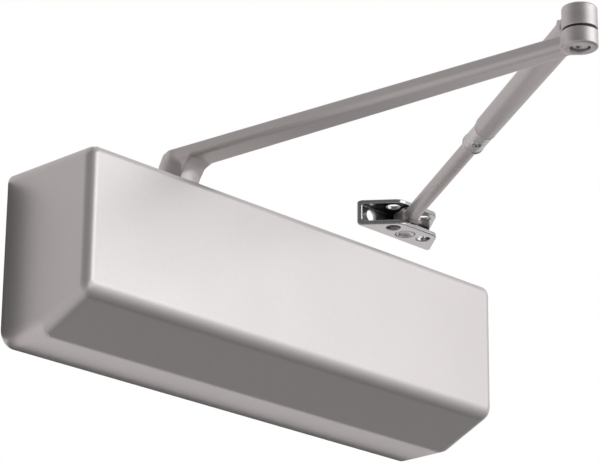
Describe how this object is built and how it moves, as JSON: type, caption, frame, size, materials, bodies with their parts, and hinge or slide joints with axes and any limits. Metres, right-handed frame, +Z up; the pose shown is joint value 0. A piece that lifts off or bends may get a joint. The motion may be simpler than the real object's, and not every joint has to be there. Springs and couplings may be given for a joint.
{
  "type": "door closer",
  "caption": "Surface-mounted hydraulic door closer: chamfered cover over a rack-and-pinion body, with a two-piece arm and a bright frame shoe.",
  "frame": {"origin": "centre of the casting's back face, which lies on the door", "axes": "+X along the closer's length towards its spring end, +Y into the door, +Z up; the arm reaches out towards -Y"},
  "size_m": [0.32, 0.3011, 0.146],
  "materials": {
    "paint": "satin aluminium paint",
    "iron": "as cast",
    "steel": "machined",
    "spring_steel": "dark spring steel",
    "chrome": "bright",
    "brass": "machined",
    "nylon": "moulded",
    "rubber": "matt"
  },
  "bodies": {
    "closer_body": {"body_casting": "iron", "cylinder_end_cap": "steel", "spring_end_cap": "steel", "cylinder_cap_seal": "rubber", "spring_cap_seal": "rubber", "pinion_cap_top": "steel", "pinion_cap_bottom": "steel", "pinion_bearing_top": "steel", "pinion_bearing_bottom": "steel", "pinion_seal": "rubber", "main_spring": "spring_steel", "cover_clip_left": "spring_steel", "cover_clip_right": "spring_steel", "clip_screw_left_lower": "steel", "clip_screw_left_upper": "steel", "clip_screw_right_lower": "steel", "clip_screw_right_upper": "steel"},
    "spindle": {"pinion": "steel", "main_arm": "paint", "arm_screw": "steel", "elbow_pin": "steel", "elbow_washer": "nylon"},
    "piston": {"piston": "steel", "piston_check_valve": "brass"},
    "spring_adjuster": {"spring_adjusting_screw": "steel"},
    "spring_plate": {"spring_plate": "steel"},
    "cover": {"cover": "paint"},
    "forearm": {"forearm_sleeve": "paint", "clamp_collar": "paint", "clamp_screw": "steel"},
    "forearm_rod": {"forearm_rod": "paint"},
    "shoe": {"shoe_bracket": "chrome", "shoe_pivot_pin": "steel", "shoe_washer_lower": "nylon", "shoe_washer_upper": "nylon"},
    "sweep_valve": {"sweep_valve": "brass", "sweep_valve_seal": "rubber"},
    "latch_valve": {"latch_valve": "brass", "latch_valve_seal": "rubber"},
    "backcheck_valve": {"backcheck_valve": "brass", "backcheck_valve_seal": "rubber"}
  },
  "joints": [
    {"name": "spindle_turn", "type": "hinge", "parent": "closer_body", "child": "spindle", "pos_m": [-0.0605, -0.0265, 0], "axis": [0, 0, 1], "range_deg": [0, 180], "stiffness_Nm_per_rad": 2},
    {"name": "piston_slide", "type": "slide", "parent": "closer_body", "child": "piston", "axis": [1, 0, 0], "range_m": [0, 0.0285], "deforming": ["main_spring"]},
    {"name": "elbow_turn", "type": "hinge", "parent": "spindle", "child": "forearm", "pos_m": [-0.0368, -0.292, 0.088], "axis": [0, 0, 1], "range_deg": [-140, 30]},
    {"name": "rod_slide", "type": "slide", "parent": "forearm", "child": "forearm_rod", "axis": [0.5218, 0.8531, 0], "range_m": [-0.03, 0.06]},
    {"name": "shoe_turn", "type": "hinge", "parent": "forearm_rod", "child": "shoe", "pos_m": [0.121, -0.034, 0.088], "axis": [0, 0, 1], "range_deg": [-115, 52]},
    {"name": "adjuster_turn", "type": "hinge", "parent": "closer_body", "child": "spring_adjuster", "pos_m": [0.145, -0.033, 0], "axis": [1, 0, 0], "range_deg": [-1080, 1080]},
    {"name": "spring_plate_slide", "type": "slide", "parent": "closer_body", "child": "spring_plate", "axis": [1, 0, 0], "range_m": [-0.0038, 0.0038], "deforming": ["main_spring"]},
    {"name": "cover_slide", "type": "slide", "parent": "closer_body", "child": "cover", "axis": [0, -1, 0], "range_m": [0, 0.09]},
    {"name": "sweep_valve_turn", "type": "hinge", "parent": "closer_body", "child": "sweep_valve", "pos_m": [-0.122, -0.05, 0.0315], "axis": [0, -1, 0], "range_deg": [-360, 360]},
    {"name": "latch_valve_turn", "type": "hinge", "parent": "closer_body", "child": "latch_valve", "pos_m": [-0.107, -0.05, 0.0315], "axis": [0, -1, 0], "range_deg": [-360, 360]},
    {"name": "backcheck_valve_turn", "type": "hinge", "parent": "closer_body", "child": "backcheck_valve", "pos_m": [-0.092, -0.05, 0.0315], "axis": [0, -1, 0], "range_deg": [-360, 360]}
  ],
  "couplings": [
    {"joint": "piston_slide", "follows": "spindle_turn", "m_per_rad": 0.009},
    {"joint": "spring_plate_slide", "follows": "adjuster_turn", "m_per_rad": -0.00019894}
  ]
}
